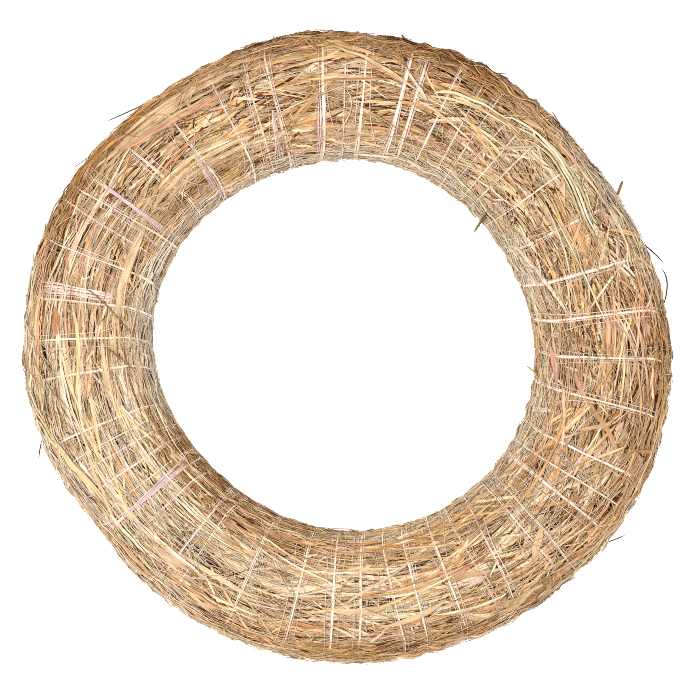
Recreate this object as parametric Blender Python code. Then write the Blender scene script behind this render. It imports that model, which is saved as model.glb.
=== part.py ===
"""Hay wreath frame: a ring of hay wisps laid round a bound straw rope and wound with film thread.

The ring lies flat on z = 0 with its axis along +Z. Lengths are in metres, angles in degrees.
A place on the ring is given by two numbers. "turns" counts the thread's turns round the ring,
and "around" is the angle round the ring's section: 0 on the outer side, 90 on top, 180 on the
inner side and 270 underneath. The thread advances by one turn while "around" goes through 360.
"""

import math

import bmesh
import bpy
from mathutils import Vector

# Rims of the ring in plan: mean radii, and how far each is out of round.
OUTER_RADIUS = 0.1498
INNER_RADIUS = 0.0883
# Each wave is its number of crests, its height and the angle of one crest.
OUTER_WAVES = ((1, 0.0006, 295), (2, 0.0029, 152), (3, 0.0009, 81), (4, 0.0015, 81))
INNER_WAVES = ((1, 0.0010, 121), (2, 0.0024, 152), (3, 0.0008, 61), (4, 0.0007, 77))

# Section of the ring: a rounded square that lies flat on its underside.
HALF_HEIGHT = 0.0296
SQUARENESS = 2.4
REST_ANGLE = 240
COLUMN_STEP = 30

# Where the film thread crosses the top of the ring, one angle for each turn.
TURN_ANGLES = (
    -175, -163, -159, -155, -151, -147, -143, -139, -129, -125, -114, -101, -93,
    -87, -79, -74, -67, -60, -54, -46, -42, -34, -30, -24, -12, -2.5,
    7, 17, 29, 39, 47, 51, 55, 59, 63, 68, 74, 78, 86,
    91, 95, 106, 110.5, 117, 127, 137, 146, 150, 154, 161, 171, 178,
)
TURNS = len(TURN_ANGLES)

# The hay cover: three strakes of wisps. The thread pulls a valley into it at every turn.
# Each strake has its lowest and highest angle round the section, and how far its wisps are
# staggered round the ring. The outer one wraps under, and the frame rests on it.
STRAKES = {
    "top_hay": (30, 150, 0),
    "outer_hay": (-120, 30, 11),
    "inner_hay": (150, 240, 21),
}
WISPS_PER_STRAKE = 12
VALLEY_DEPTH = 0.0020
ROWS_IN_A_TURN = (0.0, 0.3, 0.7)
END_GAP = 0.06
SIDE_GAP = 2.6
SCARF = 0.8
INNER_ROWS = 4

# The straw rope inside the hay, and the thin thread wound round it.
CORE_HALF_WIDTH = 0.0170
CORE_HALF_HEIGHT = 0.0150
CORE_SEGMENTS = 40
CORE_SHEAR = 8
CORE_JOIN_ANGLE = 20
CORE_JOIN_GAP = 0.4
CORE_CLEARANCE = 0.0026
CORE_THREAD_TURNS = 23
CORE_THREAD_PITCH = 15
CORE_THREAD_RADIUS = 0.00035
CORE_THREAD_RISE = 0.0009

# The film thread, which runs in the valleys. Its two cut ends face each other in one valley,
# low on the inner side of the ring.
THREAD_RADIUS = 0.00045
THREAD_DEPTH = 0.00085
THREAD_BREAK = 210
THREAD_END_GAP = 10

COLLECTION = "wreath_frame"


def wavy_radius(mean, waves, ring_angle):
    """Radius of a rim at an angle round the ring."""
    return mean + sum(
        height * math.cos(math.radians(crests * (ring_angle - crest)))
        for crests, height, crest in waves
    )


def ring_angle_at(turns):
    """Angle round the ring where the thread has made this many turns."""
    whole = math.floor(turns)
    lap, index = divmod(whole, TURNS)
    start = TURN_ANGLES[index] + 360 * lap
    if index + 1 < TURNS:
        end = TURN_ANGLES[index + 1] + 360 * lap
    else:
        end = TURN_ANGLES[0] + 360 * (lap + 1)
    return start + (end - start) * (turns - whole)


def signed_power(value, exponent):
    return math.copysign(abs(value) ** exponent, value)


def section_point(around, half_width, half_height, depth):
    """Offset from the section's middle to a point that lies depth below its surface."""
    cosine = math.cos(math.radians(around))
    sine = math.sin(math.radians(around))
    along = 2 / SQUARENESS
    across = 2 - along
    outward = Vector(
        (
            signed_power(cosine, across) / half_width,
            signed_power(sine, across) / half_height,
        )
    ).normalized()
    surface = Vector(
        (half_width * signed_power(cosine, along), half_height * signed_power(sine, along))
    )
    return surface - outward * depth


# The underside is cut flat at the height that the section has at REST_ANGLE.
REST_DEPTH = -section_point(REST_ANGLE, 1.0, HALF_HEIGHT, 0.0).y


def place(ring_angle, radius, height):
    """Point at an angle and a radius round the ring, at a height above the underside."""
    angle = math.radians(ring_angle)
    return Vector((radius * math.cos(angle), radius * math.sin(angle), height + REST_DEPTH))


def rims_at(ring_angle):
    outer = wavy_radius(OUTER_RADIUS, OUTER_WAVES, ring_angle)
    inner = wavy_radius(INNER_RADIUS, INNER_WAVES, ring_angle)
    return (outer + inner) / 2, (outer - inner) / 2


def cover_point(turns, around, depth):
    """Point that lies depth below the surface of the hay cover."""
    ring_angle = ring_angle_at(turns + (around - 90) / 360)
    middle, half_width = rims_at(ring_angle)
    offset = section_point(around, half_width, HALF_HEIGHT, depth)
    return place(ring_angle, middle + offset.x, max(offset.y, depth - REST_DEPTH))


def core_point(ring_angle, around, rise):
    """Point that lies rise above the surface of the straw rope, which is a true circle."""
    middle = (OUTER_RADIUS + INNER_RADIUS) / 2
    offset = section_point(around, CORE_HALF_WIDTH, CORE_HALF_HEIGHT, -rise)
    return place(ring_angle, middle + offset.x, offset.y)


def cover_lining_point(turns, around):
    """Point on the inner side of the hay cover, clear of the straw rope and its thread."""
    return core_point(ring_angle_at(turns + (around - 90) / 360), around, CORE_CLEARANCE)


def make_material(name, colour, roughness):
    material = bpy.data.materials.new(name)
    material.use_nodes = True
    shader = material.node_tree.nodes["Principled BSDF"]
    shader.inputs["Base Color"].default_value = (*colour, 1.0)
    shader.inputs["Roughness"].default_value = roughness
    shader.inputs["Metallic"].default_value = 0.0
    material.diffuse_color = (*colour, 1.0)
    return material


def add_object(name, data, material, collection):
    data.materials.append(material)
    made = bpy.data.objects.new(name, data)
    collection.objects.link(made)
    return made


def add_sheet(bm, grid, flip):
    """Faces between neighbouring rows of a grid of vertices."""
    for low_row, high_row in zip(grid, grid[1:]):
        for i in range(len(low_row) - 1):
            corners = (low_row[i], high_row[i], high_row[i + 1], low_row[i + 1])
            bm.faces.new(reversed(corners) if flip else corners)


def add_rim(bm, long_edge, short_edge, flip):
    """Triangles between two edges that may have different numbers of vertices."""
    i = 0
    j = 0
    last_i = len(long_edge) - 1
    last_j = len(short_edge) - 1
    while i < last_i or j < last_j:
        step_long = j == last_j or (i < last_i and (i + 1) * last_j <= (j + 1) * last_i)
        third = long_edge[i + 1] if step_long else short_edge[j + 1]
        corners = (long_edge[i], third, short_edge[j])
        bm.faces.new(reversed(corners) if flip else corners)
        i += step_long
        j += not step_long


def finish_mesh(bm, name):
    bmesh.ops.recalc_face_normals(bm, faces=bm.faces)
    mesh = bpy.data.meshes.new(name)
    bm.to_mesh(mesh)
    bm.free()
    return mesh


def make_wisp(name, columns, rows):
    """One wisp of hay: a thick curved shell between the cover's surface and its lining.

    Its ends are cut on a slant, a scarf, so that it overlaps the wisps before and after it.
    """
    bm = bmesh.new()
    surface = [
        [bm.verts.new(cover_point(turns, around, depth)) for around in columns]
        for turns, depth in rows
    ]
    first = rows[0][0] + SCARF
    last = rows[-1][0] + SCARF
    lining = []
    for i in range(INNER_ROWS + 1):
        turns = first + (last - first) * i / INNER_ROWS
        lining.append([bm.verts.new(cover_lining_point(turns, around)) for around in columns])
    add_sheet(bm, surface, flip=False)
    add_sheet(bm, lining, flip=True)
    for side, flip in ((0, False), (-1, True)):
        add_rim(bm, [row[side] for row in surface], [row[side] for row in lining], flip)
    add_rim(bm, surface[0], lining[0], flip=True)
    add_rim(bm, surface[-1], lining[-1], flip=False)
    return finish_mesh(bm, name)


def row_turns(row):
    """Place of a row of the cover in turns, three rows to a turn, and its depth."""
    turn, part = divmod(row, len(ROWS_IN_A_TURN))
    return turn + ROWS_IN_A_TURN[part], VALLEY_DEPTH if part == 0 else 0.0


def wisp_rows(first_row, last_row):
    """Rows of one wisp, drawn in a little at both ends to leave a gap to its neighbours."""
    rows = [row_turns(row) for row in range(first_row, last_row + 1)]
    rows[0] = (rows[0][0] + END_GAP / 2, rows[0][1])
    rows[-1] = (rows[-1][0] - END_GAP / 2, rows[-1][1])
    return rows


def nearest_row(ring_angle):
    """Row of the cover whose middle lies nearest to an angle round the ring."""
    row_count = TURNS * len(ROWS_IN_A_TURN)
    return min(
        range(2 * row_count),
        key=lambda row: abs(ring_angle_at(row_turns(row)[0]) - ring_angle),
    )


def strake_columns(low, high):
    """Angles round the section of a strake's columns, with a gap at both sides."""
    columns = list(range(low, high + 1, COLUMN_STEP))
    columns[0] += SIDE_GAP / 2
    columns[-1] -= SIDE_GAP / 2
    return columns


def make_strake(prefix, low, high, stagger, material, collection):
    """The wisps of one strake, laid end to end round the ring."""
    step = 360 / WISPS_PER_STRAKE
    row_count = TURNS * len(ROWS_IN_A_TURN)
    first_angle = TURN_ANGLES[0] + stagger
    starts = [nearest_row(first_angle + step * i) for i in range(WISPS_PER_STRAKE)]
    starts.append(starts[0] + row_count)
    columns = strake_columns(low, high)
    for i in range(WISPS_PER_STRAKE):
        name = f"{prefix}_wisp_{i + 1:02d}"
        mesh = make_wisp(name, columns, wisp_rows(starts[i], starts[i + 1]))
        add_object(name, mesh, material, collection)


def make_core(material, collection):
    """The straw rope, bent into a ring, its two ends cut on a slant and laid together."""
    bm = bmesh.new()
    columns = range(0, 360, COLUMN_STEP)
    first = CORE_JOIN_ANGLE + CORE_JOIN_GAP / 2
    last = CORE_JOIN_ANGLE + 360 - CORE_JOIN_GAP / 2
    grid = []
    for i in range(CORE_SEGMENTS + 1):
        ring_angle = first + (last - first) * i / CORE_SEGMENTS
        ring = []
        for around in columns:
            shear = CORE_SHEAR * math.cos(math.radians(around))
            ring.append(bm.verts.new(core_point(ring_angle + shear, around, 0.0)))
        grid.append(ring)
    add_sheet(bm, [[*ring, ring[0]] for ring in grid], flip=False)
    bm.faces.new(reversed(grid[0]))
    bm.faces.new(grid[-1])
    add_object("core_rope", finish_mesh(bm, "core_rope"), material, collection)


def make_thread(name, points, radius, material, collection):
    """A thread along a list of points."""
    curve = bpy.data.curves.new(name, "CURVE")
    curve.dimensions = "3D"
    curve.bevel_depth = radius
    curve.bevel_resolution = 0
    curve.use_fill_caps = True
    spline = curve.splines.new("POLY")
    spline.points.add(len(points) - 1)
    for spline_point, point in zip(spline.points, points):
        spline_point.co = (*point, 1.0)
    add_object(name, curve, material, collection)


def core_thread_points():
    points = []
    for around in range(0, 360 * CORE_THREAD_TURNS + 1, COLUMN_STEP):
        ring_angle = CORE_JOIN_ANGLE + (around / 360 + 0.5) * CORE_THREAD_PITCH
        points.append(core_point(ring_angle, around, CORE_THREAD_RISE))
    return points


def film_thread_points():
    """The film thread through every turn, bending where the hay's columns meet."""
    last = THREAD_BREAK + 360 * TURNS
    bends = list(range(THREAD_BREAK, last + 1, COLUMN_STEP))
    bends[0] += THREAD_END_GAP / 2
    bends[-1] -= THREAD_END_GAP / 2
    return [cover_point(0, around, THREAD_DEPTH) for around in bends]


def centre_on_origin(collection):
    """Moves every piece so that the bounding box has its middle over the origin."""
    bpy.context.view_layer.update()
    corners = [Vector(corner) for made in collection.objects for corner in made.bound_box]
    middle_x = (min(c.x for c in corners) + max(c.x for c in corners)) / 2
    middle_y = (min(c.y for c in corners) + max(c.y for c in corners)) / 2
    for made in collection.objects:
        made.location = (-middle_x, -middle_y, 0.0)


def main():
    for old in list(bpy.data.objects):
        bpy.data.objects.remove(old)
    collection = bpy.data.collections.new(COLLECTION)
    bpy.context.scene.collection.children.link(collection)

    hay = {
        "top_hay": make_material("top_hay", (0.58, 0.41, 0.21), 0.75),
        "outer_hay": make_material("outer_hay", (0.42, 0.28, 0.13), 0.80),
        "inner_hay": make_material("inner_hay", (0.37, 0.26, 0.14), 0.80),
    }
    straw = make_material("core_straw", (0.50, 0.36, 0.14), 0.70)
    core_thread = make_material("core_thread", (0.45, 0.43, 0.38), 0.60)
    film = make_material("film_thread", (0.78, 0.72, 0.74), 0.35)

    make_core(straw, collection)
    make_thread("core_thread", core_thread_points(), CORE_THREAD_RADIUS, core_thread, collection)
    for prefix, (low, high, stagger) in STRAKES.items():
        make_strake(prefix, low, high, stagger, hay[prefix], collection)
    make_thread("film_thread", film_thread_points(), THREAD_RADIUS, film, collection)
    centre_on_origin(collection)


main()
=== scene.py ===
"""Looks of the hay wreath frame: every stem, blade and strip of film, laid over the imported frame.

Lengths are in metres and angles in degrees. A place on the ring is given by its angle round the
ring, seen from above, and by its angle round the section: 0 on the outer side, 90 on top, 180 on
the inner side and 270 underneath.
"""

import math

import bpy
import numpy as np
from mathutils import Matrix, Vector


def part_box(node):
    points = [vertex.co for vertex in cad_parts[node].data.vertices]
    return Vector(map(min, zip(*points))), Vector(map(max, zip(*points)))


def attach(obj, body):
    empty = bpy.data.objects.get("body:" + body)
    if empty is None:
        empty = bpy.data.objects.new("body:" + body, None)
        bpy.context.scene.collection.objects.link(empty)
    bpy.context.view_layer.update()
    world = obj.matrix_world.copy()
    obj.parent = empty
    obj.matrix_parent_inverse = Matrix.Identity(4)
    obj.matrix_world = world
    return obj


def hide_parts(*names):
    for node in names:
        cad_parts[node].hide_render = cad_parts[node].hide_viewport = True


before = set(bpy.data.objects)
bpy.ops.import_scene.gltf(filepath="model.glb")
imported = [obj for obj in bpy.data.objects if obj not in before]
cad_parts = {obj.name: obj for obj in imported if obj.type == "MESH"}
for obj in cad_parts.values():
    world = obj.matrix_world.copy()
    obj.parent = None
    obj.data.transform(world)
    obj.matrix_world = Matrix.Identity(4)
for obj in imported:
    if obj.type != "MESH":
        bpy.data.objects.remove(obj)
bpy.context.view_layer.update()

# ---- the ring, as the frame has it
CORE_LOW, CORE_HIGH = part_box("core_rope")
AXIS = np.array([(CORE_LOW.x + CORE_HIGH.x) / 2, (CORE_LOW.y + CORE_HIGH.y) / 2, 0.0])
OUTER_RADIUS = 0.1498
INNER_RADIUS = 0.0883
# The waves of each rim: how many crests, how high, and where the first crest is.
OUTER_WAVES = ((1, 0.0006, 295), (2, 0.0029, 152), (3, 0.0009, 81), (4, 0.0015, 81))
INNER_WAVES = ((1, 0.0010, 121), (2, 0.0024, 152), (3, 0.0008, 61), (4, 0.0007, 77))
HALF_HEIGHT = 0.0296
# How square the section is, 2 being an ellipse, and where it starts to be flat underneath.
SQUARENESS = 2.4
REST_ANGLE = 240
# Each turn of thread: where it crosses the top of the ring, how far it leans from the outer
# side of the face to the inner side, and how broad it is.
TURNS_OF_THREAD = (
    (-174.5, 1.5, 0.9), (-162.6, 2.0, 1.0), (-158.5, 3.0, 0.7), (-155.3, 2.5, 0.7),
    (-150.8, 2.0, 0.8), (-146.2, 1.8, 0.6), (-143.0, 1.2, 2.0), (-138.5, 1.0, 0.6),
    (-129.0, 0.5, 1.0), (-125.5, 0.5, 0.8), (-113.4, 0.0, 0.9), (-101.3, -1.0, 1.1),
    (-93.1, 0.0, 1.2), (-86.9, -1.5, 1.1), (-79.3, 1.0, 0.7), (-74.2, -0.5, 0.9),
    (-66.4, -1.0, 1.0), (-59.6, -0.5, 1.0), (-54.8, -3.5, 1.2), (-46.0, -1.5, 1.0),
    (-42.8, -2.5, 0.7), (-34.7, -1.5, 1.2), (-29.9, -0.5, 0.8), (-24.1, -0.5, 1.0),
    (-12.1, -1.0, 1.2), (-2.5, 0.5, 1.3), (7.0, 0.0, 1.4), (17.3, -0.5, 1.3),
    (28.8, -1.0, 1.0), (39.3, -1.5, 0.8), (47.4, -1.5, 0.7), (51.5, -1.0, 0.7),
    (55.1, -2.5, 0.6), (58.9, -1.0, 0.7), (62.6, -0.5, 0.7), (68.3, -1.5, 1.0),
    (74.5, -0.5, 1.2), (77.6, -0.5, 1.3), (86.2, -0.5, 1.4), (90.4, -1.0, 0.6),
    (95.2, -1.5, 1.4), (106.1, -0.5, 1.1), (110.8, -2.0, 1.1), (117.1, 0.0, 1.0),
    (127.5, 0.0, 1.3), (137.2, 1.0, 1.2), (146.5, -0.5, 1.0), (149.3, 0.5, 0.9),
    (153.6, -2.0, 0.7), (160.7, -0.5, 1.1), (170.3, 1.5, 1.1), (178.2, 1.5, 1.1),
)
TURN_ANGLES = tuple(turn[0] for turn in TURNS_OF_THREAD)
TURNS = len(TURN_ANGLES)
# Where the thread's two ends face each other, round the section.
THREAD_BREAK = 210

# The three strakes of wisps: from which angle round the section to which, and how many degrees
# round the ring the wisps are staggered.
STRAKES = {"top_hay": (30, 150, 0), "outer_hay": (-120, 30, 11), "inner_hay": (150, 240, 21)}
WISPS_PER_STRAKE = 12


def signed_power(value, exponent):
    """A power that keeps the value's sign."""
    return np.sign(value) * np.abs(value) ** exponent


def half_lap(angle):
    """The same angle, from -180 to 180."""
    return (angle + 180) % 360 - 180


def turned_from(angle, middle):
    """How far an angle lies from another, either way round."""
    return np.abs(half_lap(angle - middle))


def bell(distance, reach):
    """1 at no distance, falling smoothly to almost 0 at twice the reach."""
    return np.exp(-((distance / reach) ** 2))


def fade(distance, end, length):
    """0 from a distance on, rising to 1 over a length nearer than it."""
    return np.clip((end - distance) / length, 0, 1)


def rims_at(angle):
    """Middle radius and half width of the ring at angles round it."""
    rims = []
    for mean, waves in ((OUTER_RADIUS, OUTER_WAVES), (INNER_RADIUS, INNER_WAVES)):
        radius = np.full_like(angle, mean, dtype=float)
        for crests, height, crest in waves:
            radius += height * np.cos(np.radians(crests * (angle - crest)))
        rims.append(radius)
    outer, inner = rims
    return (outer + inner) / 2, (outer - inner) / 2


def outline(around, half_width, half_height):
    """Offsets of a rounded section's outline from its middle."""
    x = half_width * signed_power(np.cos(np.radians(around)), 2 / SQUARENESS)
    z = half_height * signed_power(np.sin(np.radians(around)), 2 / SQUARENESS)
    return x, z


def section(around, half_width):
    """Offsets of the hay's surface from the section's middle, and its outward normal."""
    x, z = outline(around, half_width, HALF_HEIGHT)
    normal_x = signed_power(np.cos(np.radians(around)), 2 - 2 / SQUARENESS) / half_width
    normal_z = signed_power(np.sin(np.radians(around)), 2 - 2 / SQUARENESS) / HALF_HEIGHT
    length = np.hypot(normal_x, normal_z)
    return x, z, normal_x / length, normal_z / length


REST_DEPTH = float(-section(np.array([REST_ANGLE]), 1.0)[1][0])
# Distance round the section, for spreading stems evenly over it.
TABLE_ANGLES = np.linspace(0, 360, 721)
TABLE_X, TABLE_Z, _, _ = section(TABLE_ANGLES, (OUTER_RADIUS - INNER_RADIUS) / 2)
TABLE_Z = np.maximum(TABLE_Z, -REST_DEPTH)
TABLE_GIRTH = np.concatenate(([0], np.cumsum(np.hypot(np.diff(TABLE_X), np.diff(TABLE_Z)))))
GIRTH = TABLE_GIRTH[-1]


def around_at(girth):
    """Angle round the section at a distance round it."""
    laps = np.floor(girth / GIRTH)
    return np.interp(girth - laps * GIRTH, TABLE_GIRTH, TABLE_ANGLES) + 360 * laps


def girth_at(around):
    """Distance round the section at an angle round it."""
    laps = np.floor(around / 360)
    return np.interp(around - 360 * laps, TABLE_ANGLES, TABLE_GIRTH) + laps * GIRTH


# The thread's route through its turns, with points beside each crossing that give it its lean,
# this share of a turn before and after it.
FACE_TURN = 0.11
ROUTE_TURNS = []
ROUTE_ANGLES = []
for lap in (-1, 0, 1):
    for number, (crossing, lean, _) in enumerate(TURNS_OF_THREAD):
        for side in (-1, 0, 1):
            ROUTE_TURNS.append(lap * TURNS + number + side * FACE_TURN)
            ROUTE_ANGLES.append(lap * 360 + crossing - side * lean / 2)


def angle_at(turns):
    """Angle round the ring where the thread has made this many turns."""
    return np.interp(turns, ROUTE_TURNS, ROUTE_ANGLES)


LAP_TURNS = np.arange(-TURNS, 2 * TURNS + 1)
LAP_ANGLES = np.array([TURN_ANGLES[i % TURNS] + 360 * (i // TURNS) for i in LAP_TURNS], float)


def turns_at(angle):
    """How many turns the thread has made at an angle round the ring."""
    return np.interp(angle, LAP_ANGLES, LAP_TURNS)


RIPPLE_WAVES = 7
RIPPLE_SUM = 2.3
RIPPLE_RADIUS = 0.12


def ripple(angle, around, size, seed):
    """A smooth random value, about -1 to 1, that changes over a given length on the surface."""
    rng = np.random.default_rng(seed)
    total = 0.0
    for _ in range(RIPPLE_WAVES):
        crests = max(1, round(2 * np.pi * RIPPLE_RADIUS / size * rng.uniform(0.5, 1.3)))
        steps = round(GIRTH / size * rng.uniform(-1.2, 1.2))
        turn = np.radians(crests * angle) + 2 * np.pi * steps * girth_at(around) / GIRTH
        total = total + np.sin(turn + rng.uniform(0, 6.28))
    return total / RIPPLE_SUM


# How much further in the surface is drawn underneath, on the outer side and round the hole.
UNDERSIDE = 270
UNDERSIDE_REACH = 62
UNDERSIDE_EASE = 18
REST_INSET = 0.0018
SIDE_INSET = 0.0005
HOLE_INSET = 0.0011
LUMP_HEIGHT = 0.0004
LUMP_SIZE = 0.016
# Where the outer side is flattened: angle round the ring, half length in degrees and depth.
FLATS = ((-144, 9, 0.0023), (82, 13, 0.0026), (38, 8, 0.0012), (120, 10, 0.0009), (172, 8, 0.0012))


def from_axis(angle, outward, up):
    """Vectors that run outward from the ring's axis at an angle round it, and up."""
    turn = np.radians(angle)
    return np.stack((outward * np.cos(turn), outward * np.sin(turn), up), -1)


def place(angle, around, height):
    """Points at a height over the hay's lumpy surface, and the outward normals there.

    The underside is drawn in a little, so that what lies on it stays above the floor.
    """
    middle, half_width = rims_at(angle)
    from_under = turned_from(around, UNDERSIDE)
    height = height - REST_INSET * fade(from_under, UNDERSIDE_REACH, UNDERSIDE_EASE)
    height = height + LUMP_HEIGHT * ripple(angle, around, LUMP_SIZE, seed=5)
    side = np.cos(np.radians(around))
    flat = sum(depth * bell(half_lap(angle) - at, reach) for at, reach, depth in FLATS)
    height = height - np.where(side > 0, (SIDE_INSET + flat) * side**2, HOLE_INSET * side**2)
    x, z, normal_x, normal_z = section(around, half_width)
    under = z < -REST_DEPTH
    normal_x = np.where(under, 0.0, normal_x)
    normal_z = np.where(under, -1.0, normal_z)
    z = np.maximum(z, -REST_DEPTH)
    up = z + normal_z * height + REST_DEPTH
    points = AXIS + from_axis(angle, middle + x + normal_x * height, up)
    return points, from_axis(angle, normal_x, normal_z)


# The thread presses the hay down along each turn.
PRESSED_WIDTH = 0.0020
PRESSED_DEPTH = 0.0030
PRESSED_SHARE = 0.20


def pull_of_thread(angle, around):
    """How strongly the nearest turn of thread pulls the hay in, from 0 to 1."""
    lead = (around - 90) / 360
    lap_angle = half_lap(angle)
    turn = np.round(turns_at(lap_angle) - lead)
    middle, _ = rims_at(angle)
    return bell(np.radians(lap_angle - angle_at(turn + lead)) * middle, PRESSED_WIDTH)


def bound_height(angle, around, height):
    """Height of bound hay: pressed down where a turn of thread crosses it."""
    pull = pull_of_thread(angle, around)
    return (height + PRESSED_DEPTH) * (1 - PRESSED_SHARE * pull) - PRESSED_DEPTH


# ---- colours
def linear(red, green, blue):
    """Linear colour from the usual 0 to 255 values."""
    return tuple(
        c / 12.92 if c <= 0.04045 else ((c + 0.055) / 1.055) ** 2.4
        for c in (red / 255, green / 255, blue / 255)
    )


# Each colour of the dry stems, and how common it is.
HAY_TONES = (
    ((240, 214, 178), 0.17),
    ((236, 204, 164), 0.23),
    ((230, 192, 148), 0.20),
    ((224, 192, 140), 0.06),
    ((218, 174, 128), 0.13),
    ((230, 174, 136), 0.08),
    ((192, 144, 98), 0.07),
    ((150, 102, 62), 0.05),
    ((104, 64, 34), 0.035),
    ((66, 38, 18), 0.018),
    ((196, 176, 124), 0.010),
)
PALENESS = 0.65
FEATURE_PALENESS = 0.54
TONES = PALENESS * np.array([linear(*tone) for tone, _ in HAY_TONES])
TONE_SHARES = np.array([share for _, share in HAY_TONES])
TONE_SHARES = TONE_SHARES / TONE_SHARES.sum()
# Painted shade: the bed under the stems is dark brown, so that the gaps between them read as shadow.
BED_SHADE_TONE = linear(60, 23, 4)
DARKEST = 0.002
PALEST = np.array([0.51, 0.41, 0.30])

# Painted light and shade, for how the light falls round the ring. At angles round the ring: how
# pale the face is painted, how much darker the outer side, how much darker the shoulder above the
# hole and how much paler the side of the hole.
PAINTED_SIDE_LIGHT = (
    (-180, 1.00, -0.10, 0.00, 0.62),
    (-150, 1.16, -0.06, 0.00, -0.10),
    (-120, 1.06, 0.18, 0.16, -0.22),
    (-90, 1.03, 0.32, 0.22, -0.06),
    (-60, 0.96, 0.14, 0.28, 0.04),
    (-30, 0.945, 0.11, 0.20, 0.34),
    (0, 0.95, 0.30, 0.05, 0.00),
    (30, 0.96, -0.50, 0.00, 0.50),
    (60, 0.90, 0.40, 0.05, 0.40),
    (90, 0.88, 0.20, 0.14, 0.60),
    (120, 0.93, 0.24, 0.30, 0.20),
    (150, 1.00, 0.52, 0.28, 0.60),
    (180, 1.00, -0.10, 0.00, 0.62),
)
# How far from its middle each of these reaches round the section, and over how much it fades.
OUTER_SIDE = (78, 36)
HOLE_SIDE = (60, 30)
RIM = (34, 20)
SHOULDER = 128
SHOULDER_REACH = 15
# Painted light: the outermost rim is painted paler, most of all at the lower left.
RIM_PAINTED_LIGHT = 0.22
RIM_MOST_LIT_AT = -120


def painted_light_at(angle, around):
    """Painted light and shade at a place: the hay painted palest on the lower left of the face."""
    at, *shades_by_angle = np.transpose(PAINTED_SIDE_LIGHT)
    face, darker, fold, paler = (np.interp(half_lap(angle), at, side) for side in shades_by_angle)
    from_outside = turned_from(around, 0)
    outer = 1 - darker * fade(from_outside, *OUTER_SIDE)
    shoulder = 1 - fold * bell(turned_from(around, SHOULDER), SHOULDER_REACH)
    inner = 1 + paler * fade(turned_from(around, 180), *HOLE_SIDE)
    side = 1 + np.cos(np.radians(angle - RIM_MOST_LIT_AT))
    rim = 1 + RIM_PAINTED_LIGHT * side * fade(from_outside, *RIM)
    uneven = 1 + 0.04 * ripple(angle, around, 0.020, seed=6)
    return uneven * face * outer * shoulder * inner * rim


MEAN_MESS = 0.54
MESSIEST_AT = 5


def mess_at(angle, around):
    """How tangled the hay lies, from 0 where it is combed straight to 1 where it is matted.

    It is most tangled on the right, on the outer side and in patches.
    """
    side = MEAN_MESS + 0.32 * np.cos(np.radians(angle - MESSIEST_AT))
    outer = 0.15 * np.cos(np.radians(around))
    return np.clip(side + outer + 0.38 * ripple(angle, around, 0.026, seed=7), 0.05, 1.2)


# ---- meshes of many thin strands
LOWEST_HAY = 0.0001


def within(homes, limits):
    """Which places lie between two angles round the ring and two round the section."""
    angle, around = homes
    first, last, low, high = limits
    return ((angle - first) % 360 < last - first) & ((around - low) % 360 < high - low)


class Bundle:
    """Strands gathered for one or more meshes: points, sections, colours and where each lies."""

    def __init__(self):
        self.parts = []

    def add(self, points, normals, widths, thicknesses, twists, tones, homes, sides=4, round_=False):
        """Adds strands of one point count. homes is (angle, around) of each strand's middle."""
        seeds = np.random.default_rng(len(self.parts)).random(len(points))
        tangents = np.gradient(points, axis=1)
        tangents /= np.linalg.norm(tangents, axis=2, keepdims=True) + 1e-12
        sideways = np.cross(tangents, normals)
        sideways /= np.linalg.norm(sideways, axis=2, keepdims=True) + 1e-12
        upward = np.cross(sideways, tangents)
        cosine = np.cos(twists)[..., None]
        sine = np.sin(twists)[..., None]
        across = (sideways * cosine + upward * sine) * widths[..., None] / 2
        through = (upward * cosine - sideways * sine) * thicknesses[..., None] / 2
        turn = np.radians(90 + 360 * np.arange(sides) / sides)[:, None]
        corners = (
            points[:, :, None]
            + across[:, :, None] * np.cos(turn)
            + through[:, :, None] * np.sin(turn)
        )
        corners[..., 2] = np.maximum(corners[..., 2], LOWEST_HAY)
        steps = np.linalg.norm(np.diff(points, axis=1), axis=2)
        lengths = np.concatenate((np.zeros((len(points), 1)), np.cumsum(steps, axis=1)), axis=1)
        grain = np.zeros(corners.shape)
        grain[..., 0] = lengths[..., None]
        grain[..., 1] = widths[..., None] / 2 * np.cos(turn[:, 0])
        grain[..., 2] = seeds[:, None, None]
        self.parts.append((corners, grain, tones, homes, round_))

    def add_one(self, points, normals, widths, thicknesses, twists, tone, home=(0.0, 0.0), **kind):
        """Adds one strand."""
        rows = (np.array(row)[None] for row in (points, normals, widths, thicknesses, twists, tone))
        self.add(*rows, tuple(np.array([where]) for where in home), **kind)

    def mesh(self, name, limits=None):
        """One mesh of the strands, or of those whose middles lie within limits on the ring."""
        gathered = [[] for _ in range(6)]
        start = 0
        for corners, grain, tones, homes, round_ in self.parts:
            if limits is not None:
                keep = within(homes, limits)
                corners, grain, tones = (a[keep] for a in (corners, grain, tones))
            count, samples, sides = corners.shape[:3]
            if count == 0:
                continue
            first = start + np.arange(count)[:, None] * samples * sides
            last = first + (samples - 1) * sides
            low = first[:, :, None] + np.arange(samples - 1)[None, :, None] * sides
            corner = np.arange(sides)
            low, high = low + corner, low + (corner + 1) % sides
            quads = np.stack((low, high, high + sides, low + sides), -1).reshape(-1, 4)
            ends = []
            for second in range(1, sides - 1):
                ends.append(first + (0, second + 1, second))
                ends.append(last + (0, second, second + 1))
            made = (
                corners.reshape(-1, 3),
                quads,
                np.repeat(tones, samples * sides, axis=0),
                grain.reshape(-1, 3),
                np.full(len(quads), round_),
                np.concatenate(ends),
            )
            for whole, part in zip(gathered, made):
                whole.append(part)
            start += count * samples * sides
        return build_mesh(name, *map(np.concatenate, gathered))


NO_TRIANGLES = np.zeros((0, 3), int)


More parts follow.
